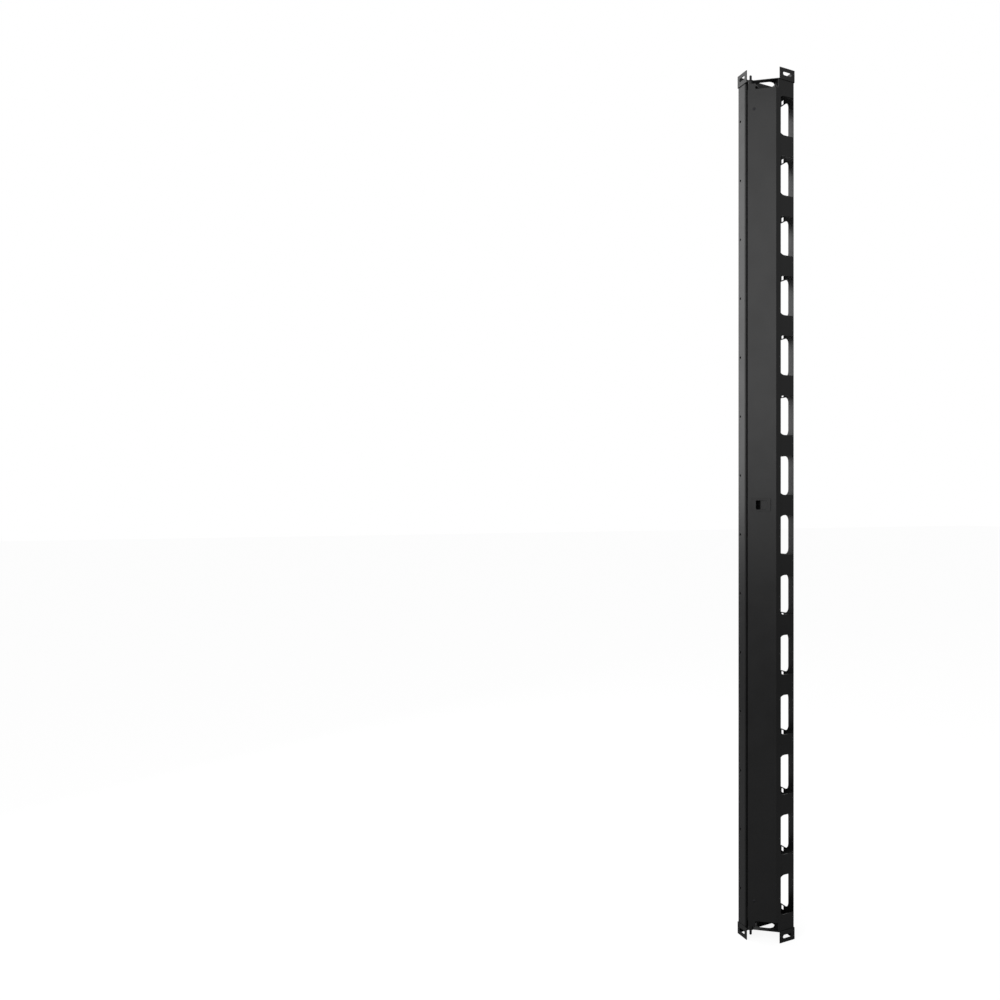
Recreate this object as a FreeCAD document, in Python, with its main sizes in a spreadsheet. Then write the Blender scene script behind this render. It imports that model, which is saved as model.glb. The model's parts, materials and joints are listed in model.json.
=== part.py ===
import FreeCAD, Part
import math
import os
import re
import Sketcher

# Vertical cable manager: a tall square channel of perforated sheet steel, open at one
# corner, with a door across that corner and a tray-shaped cap on each end.
# +Z is up and the origin is on the channel's axis, level with the lower cap's rim.
# The closed sides are +X and +Y, and the door faces the corner of -X and -Y.

doc = FreeCAD.newDocument("vertical_cable_manager")
sheet = doc.addObject("Spreadsheet::Sheet", "Sizes")

SIZES = {
    # channel
    "pitch": 133.35,
    "openings": 14,
    "end_margin": 12.55,
    "side": 91,
    "gauge": 1.5,
    "rail_width": 31.7,
    "rail_bend": 4,
    "rail_lip": 9,
    "comb_width": 41,
    "comb_bend": 2,
    "comb_lip": 16.7,
    "corner_bend": 1.2,
    # openings in the channel
    "window_height": 88,
    "window_width": 49.4,
    "window_corner": 13.5,
    "comb_corner": 14,
    "square_hole": 9.5,
    "square_strip": 2.15,
    "rail_hole": 5.5,
    "rail_hole_inset": 9.3,
    # end caps
    "rim_rise": 24.5,
    "rim_length": 40,
    "rim_slot_length": 22.5,
    "rim_slot_height": 8,
    "rim_slot_corner": 3.9,
    "cap_hole_width": 38.8,
    "cap_hole_depth": 50,
    "cap_hole_setback": 12.5,
    "cap_hole_corner": 11,
    "tab_width": 34,
    "tab_drop": 12,
    "rivet_shank": 1.6,
    "rivet_head": 3.2,
    "rivet_dome": 1.75,
    "rivet_head_thick": 0.9,
    "rivet_tail": 2.5,
    "rivet_tail_thick": 1.3,
    "rivet_spacing": 20,
    # door, measured from the channel's axis towards the open corner
    "door_face": 34.4,
    "door_left_gap": 30.65,
    "door_gauge": 1.2,
    "door_end_gap": 22.5,
    "door_flange_edge": 9.5,
    "door_flange_gap": 0.3,
    "door_flange_turn": 41,
    "door_return_depth": 5,
    "door_return_setback": 65,
    # hinge
    "pin_radius": 2.7,
    "pin_inset": 4.7,
    "pin_setback": 8,
    "pin_reach": 12,
    "pin_tip": 1.1,
    "pin_tip_radius": 1.6,
    "pin_clearance": 0.05,
    "ear_radius": 6.6,
    "bush_wall": 1.4,
    "bush_collar": 1.6,
    "bush_gap": 0.2,
    "leg_gap": 8,
    "bracket_gauge": 1.5,
    "bracket_inset": 0.5,
    "bracket_width": 16.4,
    "bracket_wide": 20.2,
    "bracket_depth": 11.7,
    "bracket_tail": 66,
    "leg_spacing": 33,
    "pin_tail": 13,
    "handle_radius": 2,
    "handle_length": 13,
    "handle_rise": 3,
    "clip_radius": 4.2,
    "clip_thick": 1.2,
    "clip_gap": 0.2,
    "spring_wire": 0.5,
    "spring_coil": 3.6,
    "spring_turns": 8,
    "spring_gap": 0.05,
    "bracket_rivet_drop": 44,
    "bracket_rivet_inset": 14.5,
    # latch
    "bezel_left": 26.2,
    "bezel_width": 44.6,
    "bezel_height": 27,
    "bezel_proud": 0.3,
    "bezel_flange": 3.4,
    "bezel_flange_thick": 1.4,
    "groove": 0.8,
    "groove_wide": 1.5,
    "groove_left": 0.15,
    "window_left": 15.1,
    "pull_window_width": 25.8,
    "pull_window_height": 20.2,
    "pull_window_corner": 2.6,
    "latch_travel": 7,
    "pull_gap": 0.7,
    "pull_sink": 0.6,
    "pull_slope": 6.8,
    "pull_round": 4,
    "slider_gap": 0.3,
    "slider_plate": 1.6,
    "slider_length": 27,
    "slider_inset": 1.5,
    "slider_block": 15.4,
    "slider_depth": 5.4,
    "case_gap": 0.35,
    "case_wall": 1.4,
    "case_left": 26,
    "case_right": 21.8,
    "case_ear": 10,
    "case_screw_head_thick": 1.2,
    "latch_spring_wire": 0.35,
    "latch_spring_coil": 1.7,
    "latch_spring_turns": 9,
    "bolt_seat": 4,
    "bolt_width": 12,
    "bolt_thick": 3,
    "bolt_gap": 0.4,
    "case_screw": 1.25,
    "case_screw_head": 2.3,
}

for row, (alias, value) in enumerate(SIZES.items(), start=1):
    sheet.set("A%d" % row, alias)
    sheet.set("B%d" % row, str(value))
    sheet.setAlias("B%d" % row, alias)
doc.recompute()

CELL_NAMES = {alias: "Sizes." + alias for alias in SIZES}
UP = FreeCAD.Vector(0, 0, 1)


def size(text):
    # A formula in the sheet's words, such as side / 2, with each word tied to its cell
    return re.sub(r"[a-z_]+", lambda word: CELL_NAMES.get(word.group(), word.group()), text)


def number(text):
    # The formula's present value
    value = sheet.evalExpression(size(text))
    return float(getattr(value, "Value", value))


def bind(thing, **formulas):
    # Ties properties to formulas, with double underscores standing for dots in a path
    for path, formula in formulas.items():
        thing.setExpression(path.replace("__", "."), size(formula))


def place(thing, x="0", y="0", z="0"):
    bind(thing, Placement__Base__x=x, Placement__Base__y=y, Placement__Base__z=z)
    return thing


def turned(degrees):
    # A placement turned about the vertical
    return FreeCAD.Placement(FreeCAD.Vector(), FreeCAD.Rotation(UP, degrees))


# Heights and places that several sub-parts share

LENGTH = "(pitch * openings + 2 * end_margin)"
BASE = "(rim_rise + gauge)"
TOP = "(%s + %s)" % (BASE, LENGTH)
MID = "(%s + %s / 2)" % (BASE, LENGTH)
HALF = "(side / 2)"
INNER = "(side / 2 - gauge)"
OUTER = "(side / 2 + gauge)"
FIRST = "(end_margin + pitch / 2)"
SLANT = "sqrt(1 / 2)"

# The door's own directions: x runs along its width, and y from its face towards the channel
DOOR_TURN = -45
DOOR_TOP = "(%s + gauge - door_end_gap)" % TOP
DOOR_BACK = "(door_face - door_gauge)"
DOOR_LEFT = "(side * %s - door_left_gap)" % SLANT
PIN_OFFSET = "(%s - pin_inset)" % DOOR_LEFT
PIN_DEPTH = "(door_face - pin_setback)"
LEG_TOP = "(%s - leg_gap)" % TOP
LOWER_LEG_TOP = "(%s - leg_spacing)" % LEG_TOP
PIN_HOLE = "(pin_radius + pin_clearance)"

AXIS_TURN = {
    "x": FreeCAD.Rotation(FreeCAD.Vector(0, 1, 0), 90),
    "y": FreeCAD.Rotation(FreeCAD.Vector(1, 0, 0), -90),
    "z": FreeCAD.Rotation(),
}

parts = []


# Helpers for primitives and booleans


def box(name, length, width, height, x="0", y="0", z="0"):
    thing = doc.addObject("Part::Box", name)
    bind(thing, Length=length, Width=width, Height=height)
    return place(thing, x, y, z)


def rod(name, radius, length, x="0", y="0", z="0", axis="z"):
    thing = doc.addObject("Part::Cylinder", name)
    thing.Placement = FreeCAD.Placement(FreeCAD.Vector(), AXIS_TURN[axis])
    bind(thing, Radius=radius, Height=length)
    return place(thing, x, y, z)


def cone(name, start, end, length, x="0", y="0", z="0", axis="z"):
    thing = doc.addObject("Part::Cone", name)
    thing.Placement = FreeCAD.Placement(FreeCAD.Vector(), AXIS_TURN[axis])
    bind(thing, Radius1=start, Radius2=end, Height=length)
    return place(thing, x, y, z)


def fuse(name, pieces):
    thing = doc.addObject("Part::MultiFuse", name)
    thing.Shapes = pieces
    thing.Refine = True
    return thing


def cut(name, base, tool):
    thing = doc.addObject("Part::Cut", name)
    thing.Base = base
    thing.Tool = tool
    thing.Refine = True
    return thing


def common(name, base, tool):
    thing = doc.addObject("Part::Common", name)
    thing.Base = base
    thing.Tool = tool
    thing.Refine = True
    return thing


def group(name, pieces):
    thing = doc.addObject("Part::Compound", name)
    thing.Links = pieces
    return thing


def keep(thing, label, on_door=False):
    thing.Label = label
    if on_door:
        thing.Placement = turned(DOOR_TURN)
    parts.append(thing)
    return thing


def mirrored(source, label):
    thing = doc.addObject("Part::Mirroring", label)
    thing.Source = source
    thing.Normal = UP
    bind(thing, Base__z=MID)
    return keep(thing, label)


# Helpers for bodies made of features


def body_of(label, z=BASE, kept=True):
    body = doc.addObject("PartDesign::Body", label)
    if kept:
        parts.append(body)
    return place(body, z=z)


def door_side_body(label):
    # Its own directions are the door's, and its height is counted from the channel's middle
    body = body_of(label, MID)
    body.Placement = turned(DOOR_TURN)
    return place(body, z=MID)


def plane_of(body, role):
    return [feature for feature in body.Origin.OriginFeatures if feature.Role == role][0]


def feature(body, kind, name, x="0", y="0", z="0", turn=0, **formulas):
    thing = body.newObject("PartDesign::" + kind, name)
    thing.Placement = turned(turn)
    bind(thing, **formulas)
    return place(thing, x, y, z)


def sketch_on(body, name, role, x, y, z, turn=0):
    sketch = body.newObject("Sketcher::SketchObject", name)
    sketch.AttachmentSupport = (plane_of(body, role), "")
    sketch.MapMode = "FlatFace"
    sketch.AttachmentOffset = turned(turn)
    bind(
        sketch,
        AttachmentOffset__Base__x=x,
        AttachmentOffset__Base__y=y,
        AttachmentOffset__Base__z=z,
    )
    return sketch


def draw_circle(sketch, radius):
    sketch.addGeometry(Part.Circle(FreeCAD.Vector(), UP, number(radius)))
    sketch.addConstraint(Sketcher.Constraint("Coincident", 0, 3, -1, 1))
    index = sketch.addConstraint(Sketcher.Constraint("Radius", 0, number(radius)))
    sketch.setExpression("Constraints[%d]" % index, size(radius))


def draw_rectangle(sketch, width, height, radius=None):
    # Centred on the sketch's origin, with round corners where a radius is given
    half_wide = number(width) / 2
    half_high = number(height) / 2
    inset = number(radius) if radius else 0
    east, north = half_wide - inset, half_high - inset
    ends = [
        ((east, -half_high), (-east, -half_high)),
        ((-half_wide, -north), (-half_wide, north)),
        ((-east, half_high), (east, half_high)),
        ((half_wide, north), (half_wide, -north)),
    ]
    for start, end in ends:
        line = Part.LineSegment(FreeCAD.Vector(*start, 0), FreeCAD.Vector(*end, 0))
        sketch.addGeometry(line)
    rules = []
    if radius:
        quarter = math.pi / 2
        corners = [(-east, -north, 2), (-east, north, 1), (east, north, 0), (east, -north, 3)]
        for x, y, turn in corners:
            circle = Part.Circle(FreeCAD.Vector(x, y, 0), UP, inset)
            sketch.addGeometry(Part.ArcOfCircle(circle, turn * quarter, (turn + 1) * quarter))
        for side in range(4):
            corner = 4 + side
            following = (side + 1) % 4
            rules.append(Sketcher.Constraint("Tangent", side, 2, corner, 2))
            rules.append(Sketcher.Constraint("Tangent", corner, 1, following, 1))
        rules += [Sketcher.Constraint("Equal", 4, corner) for corner in (5, 6, 7)]
        rules.append(Sketcher.Constraint("Symmetric", 4, 3, 6, 3, -1, 1))
    else:
        for side in range(4):
            rules.append(Sketcher.Constraint("Coincident", side, 2, (side + 1) % 4, 1))
        rules.append(Sketcher.Constraint("Symmetric", 0, 1, 2, 1, -1, 1))
    rules += [Sketcher.Constraint("Horizontal", line) for line in (0, 2)]
    rules += [Sketcher.Constraint("Vertical", line) for line in (1, 3)]
    for rule in rules:
        sketch.addConstraint(rule)
    measures = [
        (Sketcher.Constraint("Distance", 1, 1, 3, 2 * half_wide), width),
        (Sketcher.Constraint("Distance", 0, 1, 2, 2 * half_high), height),
    ]
    if radius:
        measures.append((Sketcher.Constraint("Radius", 4, inset), radius))
    for rule, formula in measures:
        index = sketch.addConstraint(rule)
        sketch.setExpression("Constraints[%d]" % index, size(formula))
    doc.recompute()


def punch(body, name, sketch, depth):
    before = body.Shape.Volume
    pocket = body.newObject("PartDesign::Pocket", name)
    pocket.Profile = sketch
    bind(pocket, Length=depth)
    body.Tip = pocket
    doc.recompute()
    if body.Shape.Volume > before - 1:
        raise RuntimeError(name + " cuts nothing")
    return pocket


def repeat_up(body, name, pockets, sketch):
    # The first opening's pockets, repeated up the channel
    pattern = body.newObject("PartDesign::LinearPattern", name)
    pattern.Originals = pockets
    pattern.Direction = (sketch, ["V_Axis"])
    bind(pattern, Length="pitch * (openings - 1)", Occurrences="openings")
    body.Tip = pattern
    doc.recompute()
    return pattern


def edges_along(shape, axis, places):
    # Names of the straight edges along an axis that pass the given places across it
    names = []
    for index, edge in enumerate(shape.Edges, start=1):
        start, end = [
            [value for name, value in zip("xyz", vertex.Point) if name != axis]
            for vertex in (edge.Vertexes[0], edge.Vertexes[-1])
        ]
        straight = math.dist(start, end) < 1e-6 and edge.Length > 1e-3
        if straight and any(math.dist(start, point) < 2e-3 for point in places):
            names.append("Edge%d" % index)
    return names


def round_edges(body, name, places, radius, axis="z"):
    base = body.Tip
    points = [[number(first), number(second)] for first, second in places]
    names = edges_along(base.Shape, axis, points)
    if not names:
        raise RuntimeError(name + " finds no edge")
    fillet = body.newObject("PartDesign::Fillet", name)
    fillet.Base = (base, names)
    bind(fillet, Radius=radius)
    body.Tip = fillet
    doc.recompute()


def perforate(body, role, depth_place):
    # A tall opening with a square tie hole over and under it, at each pitch
    square_rise = "(window_height / 2 + square_strip + square_hole / 2)"
    pockets = []
    for name, rise in (("Window", "0"), ("HoleOver", square_rise), ("HoleUnder", "-" + square_rise)):
        sketch = sketch_on(body, name + "Sketch", role, "0", FIRST + " + " + rise, depth_place)
        if name == "Window":
            draw_rectangle(sketch, "window_width", "window_height", "window_corner")
        else:
            draw_rectangle(sketch, "square_hole", "square_hole")
        pockets.append(punch(body, name, sketch, "2 * gauge"))
    repeat_up(body, "Openings", pockets, sketch)


# The channel's right wall, with its outer edges rounded as by a bend

right_wall = body_of("right_wall")
feature(right_wall, "AdditiveBox", "RightSheet", INNER, "-" + HALF, Length="gauge",
        Width="side", Height=LENGTH)
doc.recompute()
round_edges(right_wall, "RightBends", [(HALF, HALF), (HALF, "-" + HALF)], "corner_bend")
perforate(right_wall, "YZ_Plane", HALF)

# The back wall's sheet, between the right wall and the left rail, with the same openings

back_sheet = body_of("back_sheet", kept=False)
feature(back_sheet, "AdditiveBox", "BackSheet", "-" + INNER, INNER, Length="side - 2 * gauge",
        Width="gauge", Height=LENGTH)
doc.recompute()
perforate(back_sheet, "XZ_Plane", "-" + INNER)

# The left rail: a flat strip with a row of holes, then a round bend and a lip along the door

left_rail = body_of("left_rail")
RAIL_FRONT = "(%s - rail_width)" % HALF
BEND_X = "(-%s + rail_bend)" % HALF
BEND_Y = "(%s + rail_bend)" % RAIL_FRONT
feature(left_rail, "AdditiveBox", "RailSheet", "-" + HALF, BEND_Y, Length="gauge",
        Width="rail_width - rail_bend", Height=LENGTH)
doc.recompute()
round_edges(left_rail, "RailCorner", [("-" + HALF, HALF)], "corner_bend")
rail_sketch = sketch_on(left_rail, "RailHoleSketch", "YZ_Plane", HALF + " - rail_hole_inset",
                        FIRST, "-" + INNER)
draw_circle(rail_sketch, "rail_hole / 2")
rail_pocket = punch(left_rail, "RailHole", rail_sketch, "2 * gauge")
repeat_up(left_rail, "RailHoles", [rail_pocket], rail_sketch)
rail_turn = body_of("rail_bend")
feature(rail_turn, "AdditiveCylinder", "RailBend", BEND_X, BEND_Y, turn=180, Radius="rail_bend",
        Height=LENGTH, Angle="90")
feature(rail_turn, "SubtractiveCylinder", "RailBendInside", BEND_X, BEND_Y, turn=180,
        Radius="rail_bend - gauge", Height=LENGTH, Angle="90")
rail_lip = body_of("rail_lip")
feature(rail_lip, "AdditiveBox", "RailLip", BEND_X, RAIL_FRONT, Length="rail_lip - rail_bend",
        Width="gauge", Height=LENGTH)

# The cable comb: openings that run out to the right wall, and a bend beside the door

cable_comb = body_of("cable_comb")
COMB_LEFT = "(%s - comb_width)" % HALF
COMB_X = "(%s + comb_bend)" % COMB_LEFT
COMB_Y = "(-%s + comb_bend)" % HALF
COMB_REACH = "(%s - %s)" % (INNER, COMB_X)
feature(cable_comb, "AdditiveBox", "CombSheet", COMB_X, "-" + HALF, Length=COMB_REACH,
        Width="gauge", Height=LENGTH)
feature(cable_comb, "AdditiveCylinder", "CombBend", COMB_X, COMB_Y, turn=180, Radius="comb_bend",
        Height=LENGTH, Angle="90")
feature(cable_comb, "SubtractiveCylinder", "CombBendInside", COMB_X, COMB_Y, turn=180,
        Radius="comb_bend - gauge", Height=LENGTH, Angle="90")
doc.recompute()
notch_width = "(%s + 2 * comb_corner)" % COMB_REACH
comb_sketch = sketch_on(cable_comb, "NotchSketch", "XZ_Plane", COMB_X + " + %s / 2" % notch_width,
                        FIRST, HALF)
draw_rectangle(comb_sketch, notch_width, "window_height", "comb_corner")
notch = punch(cable_comb, "Notch", comb_sketch, "2 * gauge")
repeat_up(cable_comb, "Notches", [notch], comb_sketch)

# The comb's lip, turned in behind the door

comb_lip = body_of("comb_lip")
feature(comb_lip, "AdditiveBox", "LipSheet", COMB_LEFT, COMB_Y, Length="gauge",
        Width="comb_lip - comb_bend", Height=LENGTH)

# The top end cap: a tray with a cable hole, four rims, two slots and two fixing tabs

PIN_X = "(-(%s + %s) * %s)" % (PIN_OFFSET, PIN_DEPTH, SLANT)
PIN_Y = "((%s - %s) * %s)" % (PIN_OFFSET, PIN_DEPTH, SLANT)
RIM_HEIGHT = "(rim_rise + gauge)"
RIM_START = "(%s - rim_length)" % OUTER
CAP_FRONT = "(rim_length * %s)" % SLANT

top_end_cap = body_of("top_end_cap", TOP)
feature(top_end_cap, "AdditiveBox", "CapPlate", "-" + OUTER, "-" + OUTER, Length="2 * " + OUTER,
        Width="2 * " + OUTER, Height="gauge")
CAP_CORNER = "(2 * %s)" % OUTER
feature(top_end_cap, "SubtractiveBox", "CapOpenCorner",
        "(-%s - %s) * %s" % (CAP_CORNER, "(%s + %s)" % (CAP_FRONT, CAP_CORNER), SLANT),
        "(%s - %s) * %s" % (CAP_CORNER, "(%s + %s)" % (CAP_FRONT, CAP_CORNER), SLANT), turn=-45,
        Length="2 * " + CAP_CORNER, Width=CAP_CORNER, Height="gauge")
feature(top_end_cap, "AdditiveCylinder", "PinEar", PIN_X, PIN_Y, Radius="ear_radius",
        Height="gauge")
feature(top_end_cap, "AdditiveBox", "LeftRim", "-" + OUTER, RIM_START, Length="gauge",
        Width="rim_length", Height=RIM_HEIGHT)
feature(top_end_cap, "AdditiveBox", "FrontRim", RIM_START, "-" + OUTER, Length="rim_length",
        Width="gauge", Height=RIM_HEIGHT)
feature(top_end_cap, "AdditiveBox", "RightRim", HALF, "-" + OUTER, Length="gauge",
        Width="2 * " + OUTER, Height=RIM_HEIGHT)
feature(top_end_cap, "AdditiveBox", "BackRim", "-" + OUTER, HALF, Length="2 * " + OUTER,
        Width="gauge", Height=RIM_HEIGHT)
feature(top_end_cap, "AdditiveBox", "RightTab", INNER + " - gauge", "-tab_width / 2", "-tab_drop",
        Length="gauge", Width="tab_width", Height="tab_drop")
feature(top_end_cap, "AdditiveBox", "BackTab", "-tab_width / 2", INNER + " - gauge", "-tab_drop",
        Length="tab_width", Width="gauge", Height="tab_drop")
doc.recompute()
corners = [("-" + OUTER, OUTER), (OUTER, OUTER), (OUTER, "-" + OUTER)]
round_edges(top_end_cap, "CapCorners", corners, "corner_bend")

HOLE_DEPTH = "(%s - cap_hole_setback - cap_hole_depth / 2)" % CAP_FRONT
hole_sketch = sketch_on(top_end_cap, "CableHoleSketch", "XY_Plane",
                        "-%s * %s" % (HOLE_DEPTH, SLANT), "-%s * %s" % (HOLE_DEPTH, SLANT),
                        "gauge", turn=-45)
draw_rectangle(hole_sketch, "cap_hole_width", "cap_hole_depth", "cap_hole_corner")
punch(top_end_cap, "CableHole", hole_sketch, "2 * gauge")
pin_sketch = sketch_on(top_end_cap, "PinHoleSketch", "XY_Plane", PIN_X, PIN_Y, "gauge")
draw_circle(pin_sketch, PIN_HOLE + " + bush_wall")
punch(top_end_cap, "PinHole", pin_sketch, "2 * gauge")
SLOT_RISE = "(gauge + rim_rise / 2)"
SLOT_PLACE = "(%s - rim_length / 2)" % OUTER
front_slot = sketch_on(top_end_cap, "FrontSlotSketch", "XZ_Plane", SLOT_PLACE, SLOT_RISE, OUTER)
draw_rectangle(front_slot, "rim_slot_length", "rim_slot_height", "rim_slot_corner")
punch(top_end_cap, "FrontSlot", front_slot, "2 * gauge")
left_slot = sketch_on(top_end_cap, "LeftSlotSketch", "YZ_Plane", SLOT_PLACE, SLOT_RISE,
                      "-" + HALF)
draw_rectangle(left_slot, "rim_slot_length", "rim_slot_height", "rim_slot_corner")
punch(top_end_cap, "LeftSlot", left_slot, "2 * gauge")


def rivet_holes(body, wall, role, rise, places, depth_place):
    for index, along in enumerate(places):
        name = "%sRivetHole%d" % (wall, index + 1)
        sketch = sketch_on(body, name + "Sketch", role, along, rise, depth_place)
        draw_circle(sketch, "rivet_shank")
        punch(body, name, sketch, "2 * gauge")


RIVET_ROWS = ["-rivet_spacing / 2", "rivet_spacing / 2"]
rivet_holes(top_end_cap, "Right", "YZ_Plane", "-tab_drop / 2", RIVET_ROWS, INNER)
rivet_holes(top_end_cap, "Back", "XZ_Plane", "-tab_drop / 2", RIVET_ROWS, "-(%s - gauge)" % INNER)
for end, rise in (("Upper", LENGTH + " - tab_drop / 2"), ("Lower", "tab_drop / 2")):
    rivet_holes(right_wall, end, "YZ_Plane", rise, RIVET_ROWS, HALF)
    rivet_holes(back_sheet, end, "XZ_Plane", rise, RIVET_ROWS, "-" + INNER)

# The back wall is one plate for each opening, stacked face to face

back_plates = []
last = int(number("openings")) - 1
for index in range(last + 1):
    plate_foot = "(%s + end_margin + %d * pitch)" % (BASE, index) if index else BASE
    plate_top = "(%s + end_margin + %d * pitch)" % (BASE, index + 1) if index < last else TOP
    cell = box("BackCell%d" % (index + 1), "side", "side", "%s - %s" % (plate_top, plate_foot),
               "-side / 2", "0", plate_foot)
    back_plates.append(common("BackPlate%d" % (index + 1), back_sheet, cell))
keep(group("BackPlates", back_plates), "back_wall")


def rivet(name, grip, x, y, z, turn):
    # A blind rivet at a sheet's outer face: head outside, shank through the grip, tail inside
    rivet_body = fuse(name, [
        cone(name + "Head", "rivet_dome", "rivet_head", "rivet_head_thick", "-rivet_head_thick",
             axis="x"),
        rod(name + "Shank", "rivet_shank", grip, axis="x"),
        rod(name + "Tail", "rivet_tail", "rivet_tail_thick", grip, axis="x"),
    ])
    rivet_body.Placement = turned(turn)
    return place(rivet_body, x, y, z)


cap_rivets = []
RIVET_HEIGHT = TOP + " - tab_drop / 2"
for side, along in zip(("Near", "Far"), RIVET_ROWS):
    cap_rivets += [
        rivet("RightRivet" + side, "2 * gauge", HALF, along, RIVET_HEIGHT, 180),
        rivet("BackRivet" + side, "2 * gauge", along, HALF, RIVET_HEIGHT, -90),
    ]
top_cap_rivets = keep(group("TopCapRivets", cap_rivets), "top_cap_rivets")

# The hinge bush: a sleeve in the cap's ear, with a collar that keeps the bracket off the cap

BUSH_X = "-" + PIN_OFFSET
BUSH_Y = "-" + PIN_DEPTH
COLLAR_RADIUS = "(%s + bush_wall + bush_collar)" % PIN_HOLE
COLLAR_HEIGHT = "(leg_gap - bush_gap)"
bush_body = fuse("BushBody", [
    rod("BushSleeve", PIN_HOLE + " + bush_wall", "gauge", BUSH_X, BUSH_Y, TOP),
    rod("BushCollar", COLLAR_RADIUS, COLLAR_HEIGHT, BUSH_X, BUSH_Y,
        "%s - %s" % (TOP, COLLAR_HEIGHT)),
])
bush_bore = rod("BushBore", PIN_HOLE, "leg_gap + 2 * gauge", BUSH_X, BUSH_Y, TOP + " - leg_gap")
top_pin_bush = keep(cut("TopPinBush", bush_body, bush_bore), "top_pin_bush", on_door=True)

# The hinge bracket: a plate riveted inside the door, with two legs that carry the pin

LEG_Y = "-" + DOOR_BACK
BRACKET_X = "(bracket_inset - %s)" % DOOR_LEFT
bracket_body = fuse("BracketBody", [
    box("BracketPlate", "bracket_width", "bracket_gauge", "bracket_tail", BRACKET_X, LEG_Y,
        LEG_TOP + " - bracket_tail"),
    box("BracketWide", "bracket_wide", "bracket_gauge",
        "%s - (%s - bracket_tail)" % (DOOR_TOP, LEG_TOP), BRACKET_X, LEG_Y,
        LEG_TOP + " - bracket_tail"),
    box("UpperLeg", "bracket_width", "bracket_depth", "bracket_gauge", BRACKET_X, LEG_Y,
        LEG_TOP + " - bracket_gauge"),
    box("LowerLeg", "bracket_width", "bracket_depth", "bracket_gauge", BRACKET_X, LEG_Y,
        LOWER_LEG_TOP + " - bracket_gauge"),
])
RIVET_X = "(bracket_rivet_inset - %s)" % DOOR_LEFT
RIVET_Z = DOOR_TOP + " - bracket_rivet_drop"
bracket_holes = fuse("BracketHoles", [
    rod("BracketPinHole", PIN_HOLE, "leg_spacing + 3 * bracket_gauge", BUSH_X, BUSH_Y,
        LOWER_LEG_TOP + " - 2 * bracket_gauge"),
    rod("BracketRivetHole", "rivet_shank", "bracket_depth", RIVET_X, LEG_Y + " - door_gauge",
        RIVET_Z, axis="y"),
])
top_hinge_bracket = keep(
    cut("TopHingeBracket", bracket_body, bracket_holes), "top_hinge_bracket", on_door=True
)
bracket_rivet = rivet("TopBracketRivet", "(door_gauge + bracket_gauge)", RIVET_X, "-door_face",
                      RIVET_Z, 90)
top_bracket_rivet = keep(
    group("TopBracketRivetTurned", [bracket_rivet]), "top_bracket_rivet", on_door=True
)

# The hinge pin, with a clip under the upper leg, a spring below it and a side handle

PIN_TOP = "(%s + gauge + pin_reach)" % TOP
PIN_FOOT = "(%s - bracket_gauge - pin_tail)" % LOWER_LEG_TOP
HANDLE_Z = "(%s + handle_rise)" % PIN_FOOT
pin_body = fuse("PinBody", [
    rod("PinShank", "pin_radius", "%s - pin_tip - %s" % (PIN_TOP, PIN_FOOT), BUSH_X, BUSH_Y,
        PIN_FOOT),
    cone("PinTip", "pin_radius", "pin_tip_radius", "pin_tip", BUSH_X, BUSH_Y,
         PIN_TOP + " - pin_tip"),
    rod("PinHandle", "handle_radius", "handle_length", BUSH_X, BUSH_Y, HANDLE_Z, axis="y"),
])
top_hinge_pin = keep(pin_body, "top_hinge_pin", on_door=True)
CLIP_TOP = "(%s - bracket_gauge - clip_gap)" % LEG_TOP
clip = cut(
    "TopPinClip",
    rod("ClipDisc", "clip_radius", "clip_thick", BUSH_X, BUSH_Y, CLIP_TOP + " - clip_thick"),
    rod("ClipHole", "pin_radius", "3 * clip_thick", BUSH_X, BUSH_Y, CLIP_TOP + " - 2 * clip_thick"),
)
top_pin_clip = keep(clip, "top_pin_clip", on_door=True)


def coil(name, radius, wire, turns, length, x, y, z, axis="z"):
    # A round wire swept along a helix that starts at the given place and runs along +axis
    helix = doc.addObject("Part::Helix", name + "Path")
    ring = doc.addObject("Part::Circle", name + "Wire")
    ring.Placement = FreeCAD.Placement(FreeCAD.Vector(), AXIS_TURN["y"])
    bind(helix, Radius=radius, Height=length, Pitch="(%s) / %s" % (length, turns))
    bind(ring, Radius=wire)
    place(ring, radius)
    swept = doc.addObject("Part::Sweep", name)
    swept.Sections = [ring]
    swept.Spine = (helix, ["Edge1"])
    swept.Solid = True
    swept.Frenet = True
    doc.recompute()
    moved = doc.addObject("Part::Compound", name + "Placed")
    moved.Links = [swept]
    moved.Placement = FreeCAD.Placement(FreeCAD.Vector(), AXIS_TURN[axis])
    return place(moved, x, y, z)


SPRING_SPACE = "(%s - clip_thick - %s)" % (CLIP_TOP, LOWER_LEG_TOP)
pin_spring = coil("TopPinSpring", "spring_coil", "spring_wire", "spring_turns",
                  SPRING_SPACE + " - 2 * (spring_wire + spring_gap)", BUSH_X, BUSH_Y,
                  LOWER_LEG_TOP + " + spring_wire + spring_gap")
top_pin_spring = keep(group("TopPinSpringTurned", [pin_spring]), "top_pin_spring", on_door=True)

# The lower end is the upper end's mirror image

for piece in (top_end_cap, top_cap_rivets, top_pin_bush, top_hinge_bracket, top_bracket_rivet,
              top_hinge_pin, top_pin_clip, top_pin_spring):
    mirrored(piece, piece.Label.replace("top_", "bottom_"))

# The door: a flat face, a flange bent back over the comb and a return on the hinge side

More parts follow.
